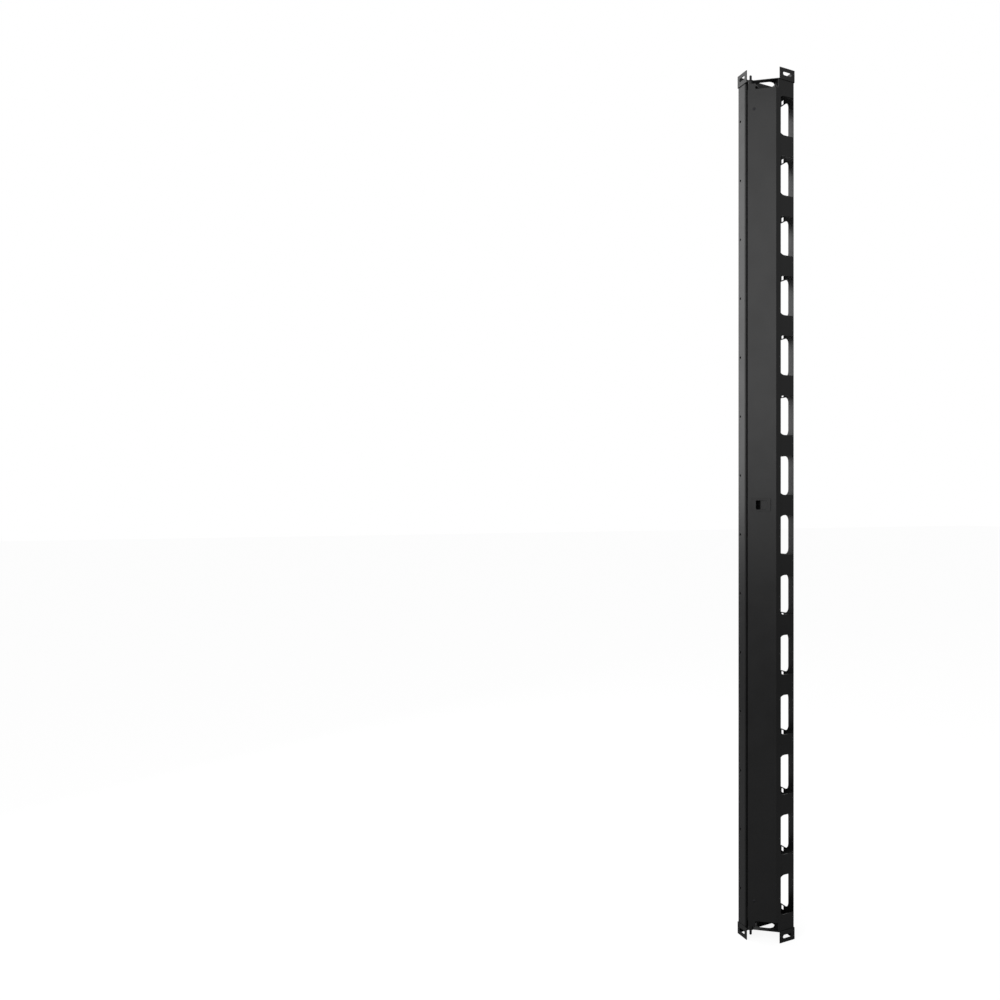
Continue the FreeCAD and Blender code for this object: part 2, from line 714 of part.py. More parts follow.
DOOR_FOOT = "(2 * %s - %s)" % (MID, DOOR_TOP)
DOOR_HEIGHT = "(%s - %s)" % (DOOR_TOP, DOOR_FOOT)
TILT = "tan((door_flange_turn - 45) * 1 deg)"
FLANGE_SIN = "sin(door_flange_turn * 1 deg)"
FLANGE_COS = "cos(door_flange_turn * 1 deg)"
BEND_A = "((%s + door_flange_gap + %s * %s - %s * %s * (1 - %s)) / (%s * (1 + %s)))" % (
    HALF, COMB_X, TILT, SLANT, DOOR_BACK, TILT, SLANT, TILT
)
FLANGE_START = "(%s * (%s - %s + door_gauge * (%s - %s)))" % (
    SLANT, BEND_A, DOOR_BACK, FLANGE_SIN, FLANGE_COS
)
FLANGE_RUN = "((door_flange_edge - %s) / (%s * (%s + %s)))" % (
    FLANGE_START, SLANT, FLANGE_SIN, FLANGE_COS
)
flange_sheet = box("FlangeSheet", FLANGE_RUN, "door_gauge", DOOR_HEIGHT)
flange_sheet.Placement = turned(number("door_flange_turn"))
place(flange_sheet, "%s + door_gauge * %s" % (BEND_A, FLANGE_SIN),
      "%s - door_gauge * %s" % (LEG_Y, FLANGE_COS), DOOR_FOOT)
door_bend = rod("DoorBend", "door_gauge", DOOR_HEIGHT, BEND_A, LEG_Y, DOOR_FOOT)
door_bend.Placement = turned(-90)
bind(door_bend, Angle="door_flange_turn")
place(door_bend, BEND_A, LEG_Y, DOOR_FOOT)
keep(fuse("DoorFlange", [flange_sheet, door_bend]), "door_flange", on_door=True)
door_return = box("DoorReturn", "door_gauge", "door_return_depth - door_gauge",
                  DOOR_HEIGHT + " - 2 * door_return_setback", "-" + DOOR_LEFT, LEG_Y,
                  DOOR_FOOT + " + door_return_setback")
keep(group("DoorReturnTurned", [door_return]), "door_return", on_door=True)
door_sheet = box("DoorSheet", "%s + %s" % (DOOR_LEFT, BEND_A), "door_gauge", DOOR_HEIGHT,
                 "-" + DOOR_LEFT, "-door_face", DOOR_FOOT)
OPENING_LEFT = "(bezel_left + groove_left)"
OPENING_WIDTH = "(bezel_width + groove_left + groove_wide)"
door_cuts = fuse("DoorCuts", [
    box("LatchOpening", OPENING_WIDTH, "3 * door_gauge", "bezel_height + 2 * groove",
        "-" + OPENING_LEFT, "-door_face - door_gauge", MID + " - bezel_height / 2 - groove"),
    rod("UpperRivetHole", "rivet_shank", "3 * door_gauge", RIVET_X, "-door_face - door_gauge",
        RIVET_Z, axis="y"),
    rod("LowerRivetHole", "rivet_shank", "3 * door_gauge", RIVET_X, "-door_face - door_gauge",
        "2 * %s - (%s)" % (MID, RIVET_Z), axis="y"),
])
keep(cut("DoorPanel", door_sheet, door_cuts), "door_panel", on_door=True)

# The latch bezel, which fills the door's opening and is held by a flange behind it

FLANGE_LEFT = "(bezel_left + bezel_flange)"
FLANGE_WIDTH = "(bezel_width + 2 * bezel_flange)"
FLANGE_HEIGHT = "(bezel_height + 4 * bezel_flange)"
CASE_Y = "(%s - bezel_flange_thick)" % DOOR_BACK
window_x = "(pull_window_width / 2 - window_left)"
bezel = door_side_body("latch_bezel")
feature(bezel, "AdditiveBox", "BezelFace", "-bezel_left", "-door_face - bezel_proud",
        "-bezel_height / 2", Length="bezel_width", Width="door_gauge + bezel_proud",
        Height="bezel_height")
feature(bezel, "AdditiveBox", "BezelFlange", "-" + FLANGE_LEFT, LEG_Y,
        "-%s / 2" % FLANGE_HEIGHT, Length=FLANGE_WIDTH, Width="bezel_flange_thick",
        Height=FLANGE_HEIGHT)
doc.recompute()
bezel_window = sketch_on(bezel, "PullWindowSketch", "XZ_Plane", window_x, "0",
                         "door_face + bezel_proud")
draw_rectangle(bezel_window, "pull_window_width", "pull_window_height", "pull_window_corner")
punch(bezel, "PullWindow", bezel_window, "2 * (door_gauge + bezel_proud + bezel_flange_thick)")
SCREW_RISE = "(%s / 2 - bezel_flange)" % FLANGE_HEIGHT
for name, rise in (("UpperScrewHole", SCREW_RISE), ("LowerScrewHole", "-" + SCREW_RISE)):
    screw_sketch = sketch_on(bezel, name + "Sketch", "XZ_Plane", window_x, rise, DOOR_BACK)
    draw_circle(screw_sketch, "case_screw")
    punch(bezel, name, screw_sketch, "2 * bezel_flange_thick")

# The slider: a finger pull that fills the right of the window, on a plate behind the bezel

PULL_LEFT = "(latch_travel + pull_gap - window_left)"
PULL_RIGHT = "(pull_window_width - window_left - slider_gap)"
PULL_HEIGHT = "(pull_window_height - 2 * slider_gap)"
SLIDER_HEIGHT = "(bezel_height - 2 * slider_inset)"
PULL_FRONT = "(door_face - pull_sink)"
PLATE_FRONT = "(%s - slider_gap)" % CASE_Y
PLATE_BACK = "(%s - slider_plate)" % PLATE_FRONT
BOLT_BACK = "(%s - slider_depth)" % PLATE_BACK
BOLT_FRONT = "(%s + bolt_thick)" % BOLT_BACK
BLOCK_RIGHT = "(%s + slider_block)" % PULL_LEFT

slider = door_side_body("latch_slider")
feature(slider, "AdditiveBox", "SliderPlate", PULL_LEFT, "-" + PLATE_FRONT,
        "-%s / 2" % SLIDER_HEIGHT, Length="slider_length", Width="slider_plate",
        Height=SLIDER_HEIGHT)
feature(slider, "AdditiveBox", "PullBlock", PULL_LEFT, "-" + PULL_FRONT, "-%s / 2" % PULL_HEIGHT,
        Length="%s - %s" % (PULL_RIGHT, PULL_LEFT), Width="%s - %s" % (PULL_FRONT, PLATE_BACK),
        Height=PULL_HEIGHT)
feature(slider, "AdditiveBox", "SliderBlock", PULL_LEFT, "-" + PLATE_BACK,
        "-%s / 2" % PULL_HEIGHT, Length="slider_block", Width="slider_depth", Height=PULL_HEIGHT)
feature(slider, "SubtractiveBox", "BoltSeat", BLOCK_RIGHT + " - bolt_seat", "-" + BOLT_FRONT,
        "-bolt_width / 2", Length="2 * bolt_seat", Width="2 * bolt_thick", Height="bolt_width")
doc.recompute()
slope_turn = 180 - number("pull_slope")
feature(slider, "SubtractiveBox", "PullSlope", PULL_RIGHT, "-" + PULL_FRONT,
        "-pull_window_height / 2", turn=slope_turn, Length="2 * pull_window_width",
        Width="door_face", Height="pull_window_height")
doc.recompute()
PULL_DROP = "((%s - %s) * tan(pull_slope * 1 deg))" % (PULL_RIGHT, PULL_LEFT)
round_edges(slider, "PullRound", [(PULL_LEFT, "%s - %s" % (PULL_DROP, PULL_FRONT))],
            "pull_round")
round_edges(slider, "PullCorners", [(PULL_RIGHT, "%s / 2" % PULL_HEIGHT),
                                    (PULL_RIGHT, "-%s / 2" % PULL_HEIGHT)],
            "pull_window_corner - slider_gap", axis="y")

# The bolt: its tail sits in the slider, and its nose is bevelled to lie along the comb's lip

BOLT_X = "(%s - bolt_seat)" % BLOCK_RIGHT
BOLT_END = "(%s + %s / %s)" % (BOLT_FRONT, COMB_LEFT, SLANT)
NOSE_PLANE = "(%s - bolt_gap)" % COMB_LEFT
bolt_bar = box("BoltBar", "%s - %s" % (BOLT_END, BOLT_X), "bolt_thick", "bolt_width", BOLT_X,
               "-" + BOLT_FRONT, MID + " - bolt_width / 2")
bolt_bevel = box("BoltBevel", "side", "side", "2 * bolt_width")
bolt_bevel.Placement = turned(45)
place(bolt_bevel, "(%s + side) * %s" % (NOSE_PLANE, SLANT),
      "(%s - side) * %s" % (NOSE_PLANE, SLANT), MID + " - bolt_width")
keep(cut("LatchBolt", bolt_bar, bolt_bevel), "latch_bolt", on_door=True)

# The case behind the bezel, with an ear over and under it for its screws

CASE_FLOOR = "(%s - case_gap)" % BOLT_BACK
CASE_HEIGHT = "(%s + 2 * case_gap + 2 * case_wall)" % SLIDER_HEIGHT
CASE_WIDTH = "(case_left + case_right)"
case_body = fuse("CaseBody", [
    box("CaseShell", CASE_WIDTH, "%s - %s + case_wall" % (CASE_Y, CASE_FLOOR), CASE_HEIGHT,
        "-case_left", "-" + CASE_Y, "%s - %s / 2" % (MID, CASE_HEIGHT)),
    box("CaseEars", "case_ear", "case_wall", FLANGE_HEIGHT, window_x + " - case_ear / 2",
        "-" + CASE_Y, "%s - %s / 2" % (MID, FLANGE_HEIGHT)),
])
case_cuts = fuse("CaseCuts", [
    box("CaseInside", CASE_WIDTH + " - 2 * case_wall", "%s - %s" % (CASE_Y, CASE_FLOOR),
        CASE_HEIGHT + " - 2 * case_wall", "case_wall - case_left", "-" + CASE_Y,
        "%s - %s / 2 + case_wall" % (MID, CASE_HEIGHT)),
    box("BoltSlot", "2 * case_wall", "bolt_thick + 2 * case_gap", "bolt_width + 2 * case_gap",
        "case_right - 1.5 * case_wall", "-%s - case_gap" % BOLT_FRONT,
        MID + " - bolt_width / 2 - case_gap"),
    rod("UpperEarHole", "case_screw", "3 * case_wall", window_x, "-%s - case_wall" % CASE_Y,
        "%s + %s" % (MID, SCREW_RISE), axis="y"),
    rod("LowerEarHole", "case_screw", "3 * case_wall", window_x, "-%s - case_wall" % CASE_Y,
        "%s - %s" % (MID, SCREW_RISE), axis="y"),
])
keep(cut("LatchCase", case_body, case_cuts), "latch_case", on_door=True)

case_screws = []
for name, rise in (("UpperCaseScrew", " + "), ("LowerCaseScrew", " - ")):
    screw_z = MID + rise + SCREW_RISE
    shank = rod(name + "Shank", "case_screw", "bezel_flange_thick + case_wall - slider_gap",
                window_x, "slider_gap - " + DOOR_BACK, screw_z, axis="y")
    head = rod(name + "Head", "case_screw_head", "case_screw_head_thick", window_x,
               "case_wall - " + CASE_Y, screw_z, axis="y")
    case_screws.append(fuse(name, [shank, head]))
keep(group("LatchCaseScrews", case_screws), "latch_case_screws", on_door=True)

# The latch spring, which pushes the slider and its bolt towards the comb

SPRING_LEFT = "(case_wall - case_left)"
latch_spring = coil("LatchSpring", "latch_spring_coil", "latch_spring_wire", "latch_spring_turns",
                    "%s - %s - 2 * (latch_spring_wire + spring_gap)" % (PULL_LEFT, SPRING_LEFT),
                    SPRING_LEFT + " + latch_spring_wire + spring_gap",
                    "-(%s + %s) / 2" % (PLATE_BACK, BOLT_BACK), MID, axis="x")
keep(group("LatchSpringTurned", [latch_spring]), "latch_spring", on_door=True)

# Every object is checked before any file is written

doc.recompute()
for thing in doc.Objects:
    if "Invalid" in thing.State or "Error" in thing.State:
        raise RuntimeError("failed: %s %s" % (thing.Name, thing.State))
for part in parts:
    if part.Shape.isNull() or not part.Shape.isValid():
        raise RuntimeError("bad shape: " + part.Label)

os.makedirs("parts", exist_ok=True)
for part in parts:
    part.Shape.exportStep("parts/%s.step" % part.Label)
    extent = part.Shape.BoundBox
    corners = (extent.XMin, extent.XMax, extent.YMin, extent.YMax, extent.ZMin, extent.ZMax)
    print(part.Label, len(part.Shape.Solids), round(part.Shape.Volume, 1),
          [round(value, 1) for value in corners])
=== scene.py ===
import bpy
import bmesh
import json
import math
from mathutils import Matrix, Vector


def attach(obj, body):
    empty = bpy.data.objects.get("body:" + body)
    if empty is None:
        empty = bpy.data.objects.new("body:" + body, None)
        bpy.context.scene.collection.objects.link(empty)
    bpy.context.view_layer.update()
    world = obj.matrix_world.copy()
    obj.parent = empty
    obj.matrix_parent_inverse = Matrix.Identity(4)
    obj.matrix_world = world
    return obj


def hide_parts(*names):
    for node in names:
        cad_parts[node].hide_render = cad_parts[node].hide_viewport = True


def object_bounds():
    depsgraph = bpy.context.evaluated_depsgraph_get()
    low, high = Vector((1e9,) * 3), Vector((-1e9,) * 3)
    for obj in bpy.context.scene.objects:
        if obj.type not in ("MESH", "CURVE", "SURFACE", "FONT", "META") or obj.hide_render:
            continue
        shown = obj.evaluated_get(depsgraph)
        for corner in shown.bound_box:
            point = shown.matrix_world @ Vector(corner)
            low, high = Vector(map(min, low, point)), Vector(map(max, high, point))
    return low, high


# Vertical cable manager: black perforated steel channel with a latched corner door
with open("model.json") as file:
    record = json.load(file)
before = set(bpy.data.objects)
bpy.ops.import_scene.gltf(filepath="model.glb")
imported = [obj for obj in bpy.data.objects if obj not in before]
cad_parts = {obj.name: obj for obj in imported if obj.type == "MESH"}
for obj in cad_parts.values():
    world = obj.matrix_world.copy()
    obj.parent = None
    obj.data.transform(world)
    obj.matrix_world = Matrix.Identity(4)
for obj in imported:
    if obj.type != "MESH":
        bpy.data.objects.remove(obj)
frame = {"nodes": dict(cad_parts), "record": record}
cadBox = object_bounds()
nodes = frame["nodes"]
middle = (cadBox[0][2] + cadBox[1][2]) / 2
slotOf = {part["node"]: part["material_slot"] for part in frame["record"]["subparts"]}
bodyOf = {}
for body, members in frame["record"]["behaviour"]["bodies"].items():
    for member in members:
        bodyOf[member] = body


def linearColour(hexText):
    # sRGB hex to the linear values that the shaders take
    values = [int(hexText[i:i + 2], 16) / 255 for i in (1, 3, 5)]
    linear = [v / 12.92 if v <= 0.04045 else ((v + 0.055) / 1.055) ** 2.4 for v in values]
    return linear + [1]


def addNode(tree, kind, inputs=None, **settings):
    # inputs holds plain values, or output sockets to link
    node = tree.nodes.new(kind)
    for key, value in settings.items():
        setattr(node, key, value)
    for key, value in (inputs or {}).items():
        if isinstance(value, bpy.types.NodeSocket):
            tree.links.new(value, node.inputs[key])
        else:
            node.inputs[key].default_value = value
    return node


def newMaterial(name):
    material = bpy.data.materials.new(name)
    material.use_nodes = True
    material.node_tree.nodes.clear()
    return material, material.node_tree


# Camera: level with the middle of the channel, to the left of its front, and shifted so that
# the channel stands at the right of the picture, as in the photograph
cameraSetup = {
    "turn": -32.2,      # degrees from straight in front
    "distance": 2.074,
    "lens": 33.1,
    "sensor": 36,
    "shiftX": -0.2659,
    "shiftY": 0.005,
}


def placeCamera(setup):
    data = bpy.data.cameras.new("camera")
    data.lens = setup["lens"]
    data.sensor_width = setup["sensor"]
    data.shift_x = setup["shiftX"]
    data.shift_y = setup["shiftY"]
    camera = bpy.data.objects.new("camera", data)
    turn = math.radians(setup["turn"])
    camera.location = (
        math.sin(turn) * setup["distance"], -math.cos(turn) * setup["distance"], middle
    )
    camera.rotation_euler = (math.pi / 2, 0, turn)
    bpy.context.scene.collection.objects.link(camera)
    bpy.context.scene.camera = camera


placeCamera(cameraSetup)
print("camera placed")

# Coated and moulded surfaces, which differ in colour, gloss and grain
powderCoat = {
    "colour": "#0d0d0e",
    "paler": "#121213",
    "roughness": 0.36,
    "grain": 0.45,      # mm between the bumps of the baked powder's orange peel
    "grainHeight": 0.03,
    "cloud": 60,        # mm across the slow changes in film thickness
    "specular": 0.5,
}
mouldedNylon = {
    "colour": "#101011",
    "paler": "#151516",
    "roughness": 0.4,
    "grain": 0.25,      # spark-eroded mould texture
    "grainHeight": 0.02,
    "cloud": 15,
    "specular": 0.5,
}
# The housing behind the latch is glass-filled nylon, drier and duller than the parts in view.
# Its colour is darker than the other nylon: painted shade, so that the latch's window stays
# dark.
mattPaintedShadeMoulding = {
    "colour": "#08080a",
    "paler": "#0b0b0c",
    "roughness": 0.75,
    "grain": 0.4,
    "grainHeight": 0.03,
    "cloud": 10,
    "specular": 0.15,
}
# Shared by all of them: how far the gloss wanders, and how strongly the grain shades
surfaceWork = {"glossWander": 0.03, "cloudLow": 0.3, "cloudHigh": 0.7, "bump": 0.35}


def coatedSurface(name, look):
    # Fine bumps for the grain and slow clouds in colour and roughness
    material, tree = newMaterial(name)
    place = addNode(tree, "ShaderNodeTexCoord").outputs["Object"]
    clouds = addNode(tree, "ShaderNodeTexNoise", {
        "Vector": place, "Scale": 1000 / look["cloud"], "Detail": 2, "Roughness": 0.5})
    grain = addNode(tree, "ShaderNodeTexNoise", {
        "Vector": place, "Scale": 1000 / look["grain"], "Detail": 2, "Roughness": 0.6})
    colour = addNode(tree, "ShaderNodeMix", {
        "Factor": clouds.outputs["Fac"], "A": linearColour(look["colour"]),
        "B": linearColour(look["paler"])}, data_type="RGBA")
    colour = colour.outputs["Result"]
    rough = addNode(tree, "ShaderNodeMapRange", {
        "Value": clouds.outputs["Fac"],
        "From Min": surfaceWork["cloudLow"], "From Max": surfaceWork["cloudHigh"],
        "To Min": look["roughness"] - surfaceWork["glossWander"],
        "To Max": look["roughness"] + surfaceWork["glossWander"]})
    bump = addNode(tree, "ShaderNodeBump", {
        "Height": grain.outputs["Fac"], "Strength": surfaceWork["bump"],
        "Distance": look["grainHeight"] / 1000})
    shader = addNode(tree, "ShaderNodeBsdfPrincipled", {
        "Base Color": colour, "Roughness": rough.outputs["Result"],
        "Normal": bump.outputs["Normal"], "Specular IOR Level": look["specular"]})
    addNode(tree, "ShaderNodeOutputMaterial", {"Surface": shader.outputs["BSDF"]})
    return material


# Zinc plate over cold-drawn steel: bright, slightly blue, with a crystalline unevenness
zincPlate = {
    "colour": "#b9bcc0",
    "paler": "#d2d3d4",
    "roughness": 0.32,
    "smoother": 0.06,
    "rougher": 0.08,
    "crystal": 0.8,     # mm across
}
# Black zinc plate: the same under a dark passivate, so still metallic
blackZinc = {
    "colour": "#2b2b2e",
    "paler": "#3d3d40",
    "roughness": 0.36,
    "smoother": 0.06,
    "rougher": 0.08,
    "crystal": 0.8,
}


def platedSteel(name, look):
    material, tree = newMaterial(name)
    place = addNode(tree, "ShaderNodeTexCoord").outputs["Object"]
    crystals = addNode(tree, "ShaderNodeTexVoronoi", {
        "Vector": place, "Scale": 1000 / look["crystal"], "Randomness": 1})
    colour = addNode(tree, "ShaderNodeMix", {
        "Factor": crystals.outputs["Distance"], "A": linearColour(look["colour"]),
        "B": linearColour(look["paler"])}, data_type="RGBA")
    rough = addNode(tree, "ShaderNodeMapRange", {
        "Value": crystals.outputs["Distance"],
        "To Min": look["roughness"] - look["smoother"],
        "To Max": look["roughness"] + look["rougher"]})
    shader = addNode(tree, "ShaderNodeBsdfPrincipled", {
        "Base Color": colour.outputs["Result"], "Roughness": rough.outputs["Result"],
        "Metallic": 1})
    addNode(tree, "ShaderNodeOutputMaterial", {"Surface": shader.outputs["BSDF"]})
    return material


powder = coatedSurface("satinBlackPowderCoat", powderCoat)
nylon = coatedSurface("mouldedBlackNylon", mouldedNylon)
# The housing's nylon is painted darker than the rest, as painted shade in the latch's window
paintedShadeNylon = coatedSurface("mattNylonWithPaintedShade", mattPaintedShadeMoulding)
zinc = platedSteel("brightZincPlate", zincPlate)
darkZinc = platedSteel("blackZincPlate", blackZinc)
slotFinish = {
    "black_powder_coat": powder, "black_plastic": nylon, "nylon": nylon,
    "zinc_plate": zinc, "black_zinc": darkZinc,
}
for name, slotName in slotOf.items():
    for slot in nodes[name].material_slots:
        slot.link = "OBJECT"
        slot.material = slotFinish[slotName]
print("materials set")

# New pieces are made in mm. Those on the door are made in its own frame, with x along its
# width, and turned to face the open corner. Those at the bottom mirror those at the top.
inMetres = Matrix.Scale(0.001, 4)
inMillimetres = Matrix.Scale(1000, 4)
doorTurn = Matrix.Rotation(math.radians(-45), 4, "Z")
upsideDown = Matrix.Translation((0, 0, 2000 * middle)) @ Matrix.Scale(-1, 4, (0, 0, 1))
ends = {"top": Matrix(), "bottom": upsideDown}
creaseAngle = 32        # degrees, past which an edge is drawn sharp
mergeDistance = 0.0005  # mm
cadMergeDistance = 0.002
pieceList = []


def addPiece(name, bm, replaced, matrix, *alsoReplaced):
    # The piece takes the body and the finish of the first CAD node that it stands for
    bmesh.ops.transform(bm, matrix=matrix, verts=bm.verts)
    bmesh.ops.recalc_face_normals(bm, faces=bm.faces)
    mesh = bpy.data.meshes.new(name)
    bm.to_mesh(mesh)
    bm.free()
    mesh.shade_smooth()
    mesh.set_sharp_from_angle(angle=math.radians(creaseAngle))
    mesh.materials.append(slotFinish[slotOf[replaced]])
    piece = bpy.data.objects.new(name, mesh)
    bpy.context.scene.collection.objects.link(piece)
    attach(piece, bodyOf[replaced])
    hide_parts(replaced, *alsoReplaced)
    # Flat faces keep their own direction, so that only the rounded edges shade smoothly
    even = piece.modifiers.new("evenShading", "WEIGHTED_NORMAL")
    even.weight = 100
    even.keep_sharp = True
    pieceList.append(piece)
    return piece


def roundEdges(bm, width, steps=2):
    edges = [
        edge for edge in bm.edges
        if edge.is_manifold and edge.calc_face_angle() > math.radians(creaseAngle)
    ]
    bmesh.ops.bevel(
        bm, geom=edges, offset=width, offset_type="OFFSET", segments=steps, profile=0.5,
        affect="EDGES", material=-1, clamp_overlap=True)


def turnedPart(profile, steps=32):
    # profile runs from the axis out and back to it, as radius and height
    bm = bmesh.new()
    points = [bm.verts.new((radius, 0, height)) for radius, height in profile]
    lines = [bm.edges.new(pair) for pair in zip(points, points[1:])]
    bmesh.ops.spin(
        bm, geom=points + lines, cent=(0, 0, 0), axis=(0, 0, 1), angle=2 * math.pi,
        steps=steps, use_merge=True)
    bmesh.ops.remove_doubles(bm, verts=bm.verts, dist=mergeDistance)
    bmesh.ops.recalc_face_normals(bm, faces=bm.faces)
    return bm


def join(bm, other, matrix=Matrix()):
    # Adds a second shape to the first as a separate shell
    bmesh.ops.transform(other, matrix=matrix, verts=other.verts)
    bmesh.ops.recalc_face_normals(other, faces=other.faces)
    mesh = bpy.data.meshes.new("joined")
    other.to_mesh(mesh)
    other.free()
    bm.from_mesh(mesh)
    bpy.data.meshes.remove(mesh)


def combine(bm, tool, operation):
    # Boolean of two closed shapes
    objects = []
    for shape in (bm, tool):
        mesh = bpy.data.meshes.new("shape")
        shape.to_mesh(mesh)
        shape.free()
        objects.append(bpy.data.objects.new("shape", mesh))
        bpy.context.scene.collection.objects.link(objects[-1])
    body, cutter = objects
    step = body.modifiers.new("combine", "BOOLEAN")
    step.object = cutter
    step.operation = operation
    step.solver = "EXACT"
    result = bmesh.new()
    result.from_object(body, bpy.context.evaluated_depsgraph_get())
    for thing in objects:
        mesh = thing.data
        bpy.data.objects.remove(thing)
        bpy.data.meshes.remove(mesh)
    bmesh.ops.remove_doubles(result, verts=result.verts, dist=mergeDistance)
    return result


# Softened copies of the folded and moulded parts, whose real edges are never knife-sharp:
# the piece's name, and the rounding in mm
flatAngle = 0.5         # degrees between faces that count as one
edgeRounding = {
    "latch_bezel": ("latchBezel", 0.4),
    "latch_slider": ("fingerPull", 0.4),
    "latch_case": ("latchHousing", 0.4),
    "latch_bolt": ("latchTongue", 0.3),
    "top_end_cap": ("topCapTray", 0.3),
    "bottom_end_cap": ("bottomCapTray", 0.3),
    "top_hinge_bracket": ("topHingeBracket", 0.3),
    "bottom_hinge_bracket": ("bottomHingeBracket", 0.3),
    "top_pin_bush": ("topHingeSleeve", 0.25),
    "bottom_pin_bush": ("bottomHingeSleeve", 0.25),
}


def copyNode(nodeName):
    # The CAD mesh is loose triangles, so its copy is joined before anything is done to it
    bm = bmesh.new()
    bm.from_mesh(nodes[nodeName].data)
    bmesh.ops.transform(bm, matrix=inMillimetres, verts=bm.verts)
    bmesh.ops.remove_doubles(bm, verts=bm.verts, dist=cadMergeDistance)
    return bm


def joinFlats(bm):
    bmesh.ops.dissolve_limit(
        bm, angle_limit=math.radians(flatAngle), use_dissolve_boundaries=False,
        verts=bm.verts, edges=bm.edges)


for nodeName, (name, width) in edgeRounding.items():
    bm = copyNode(nodeName)
    joinFlats(bm)
    roundEdges(bm, width)
    piece = addPiece(name, bm, nodeName, inMetres)
    # The latch housing takes the darker nylon, whose colour is painted shade for the latch's
    # window
    if nodeName == "latch_case":
        piece.data.materials[0] = paintedShadeNylon

# Folded sheets: each is one bent sheet here, as the real one is, with deburred edges.
# The first member gives the body and the finish.
foldedSheets = {
    "doorLeaf": ("door_panel", "door_flange", "door_return"),
    "leftRailStrip": ("left_rail", "rail_bend", "rail_lip"),
    "combStrip": ("cable_comb", "comb_lip"),
}
deburr = 0.2            # mm
for name, members in foldedSheets.items():
    bm = copyNode(members[0])
    for member in members[1:]:
        bm = combine(bm, copyNode(member), "UNION")
    joinFlats(bm)
    roundEdges(bm, deburr, 1)
    addPiece(name, bm, members[0], inMetres, *members[1:])

# The back wall is one sheet too. Its CAD plates are stacked edge to edge, one for each
# opening, and the level faces where they meet are taken out.
backSheet = {
    "foot": 26, "margin": 12.55, "pitch": 133.35, "plates": 14, "near": 0.05, "level": 0.99,
}


def facesBetweenPlates(bm, look):
    start = look["foot"] + look["margin"]
    seams = [start + index * look["pitch"] for index in range(1, look["plates"])]
    level = [face for face in bm.faces if abs(face.normal.z) > look["level"]]
    return [
        face for face in level
        if any(abs(face.calc_center_median().z - seam) < look["near"] for seam in seams)
    ]


bm = copyNode("back_wall")
bmesh.ops.delete(bm, geom=facesBetweenPlates(bm, backSheet), context="FACES")
joinFlats(bm)
addPiece("backSheet", bm, "back_wall", inMetres)
print("edges softened, sheets joined")

# Blind rivets: a domed head with the broken-off mandrel sunk in its middle, a bulbed tail,
# and a grip as thick as the sheets that it holds
blindRivet = {
    "head": 3.2, "rise": 0.9, "shank": 1.6, "mandrel": 0.9, "sink": 0.4, "bulb": 2.5,
    "bulbLength": 1.3, "channelGrip": 3.0, "doorGrip": 2.7,
}
# At each end two sit on each closed side of the channel, and one on the door's bracket
rivetPlaces = {
    "out": 45.5, "apart": 10, "height": 1912, "doorX": -19.2, "doorY": -34.4, "doorZ": 1853,
}


def makeRivet(look, grip):
    head, rise, hole = look["head"], look["rise"], look["mandrel"]
    floor, foot = rise - look["sink"], -grip - look["bulbLength"]
    return turnedPart([
        (0, floor + 0.12), (hole * 0.6, floor + 0.08), (hole * 0.95, floor),
        (hole, rise - 0.12), (hole + 0.15, rise - 0.02), (head * 0.45, rise),
        (head * 0.68, rise * 0.86), (head * 0.86, rise * 0.58), (head * 0.97, rise * 0.25),
        (head, 0), (look["shank"], 0), (look["shank"], -grip), (look["bulb"] * 0.85, -grip),
        (look["bulb"], foot + 0.8), (look["bulb"] * 0.86, foot + 0.3),
        (look["bulb"] * 0.5, foot), (0, foot),
    ])


def capRivets(look, places):
    out, height = places["out"], places["height"]
    grip = look["channelGrip"]
    facingRight = Matrix.Rotation(math.pi / 2, 4, "Y")
    facingBack = Matrix.Rotation(-math.pi / 2, 4, "X")
    bm = bmesh.new()
    for along in (-places["apart"], places["apart"]):
        join(bm, makeRivet(look, grip), Matrix.Translation((out, along, height)) @ facingRight)
        join(bm, makeRivet(look, grip), Matrix.Translation((along, out, height)) @ facingBack)
    return bm


doorRivetPlace = Matrix.Translation(
    (rivetPlaces["doorX"], rivetPlaces["doorY"], rivetPlaces["doorZ"]))
doorRivetPlace = doorRivetPlace @ Matrix.Rotation(math.pi / 2, 4, "X")
for end, flip in ends.items():
    bm = capRivets(blindRivet, rivetPlaces)
    addPiece(end + "CapBlindRivets", bm, end + "_cap_rivets", inMetres @ flip)
    bm = makeRivet(blindRivet, blindRivet["doorGrip"])
    addPiece(end + "BracketBlindRivet", bm, end + "_bracket_rivet",
             inMetres @ doorTurn @ flip @ doorRivetPlace)
print("rivets set")

# Hinge pins: drawn rod with a tapered tip, a groove for the clip, and a side handle with a
# rounded end
hingePin = {
    "x": -29.0, "y": -26.4, "foot": 1862.5, "top": 1931.5, "radius": 2.7, "tip": 1.6,
    "taper": 1.1, "groove": 2.35, "grooveFoot": 1906.9, "grooveTop": 1908.5,
    "handleHeight": 1865.5, "handleRadius": 2.0, "handleLength": 13,
}
# E-clip pressed from spring steel: open at the back, with three lugs in the pin's groove
pinClip = {
    "foot": 1907.15, "thick": 1.1, "outer": 4.2, "inner": 3.35, "grip": 2.35, "open": 76,
    "steps": 36, "lug": 20,
}


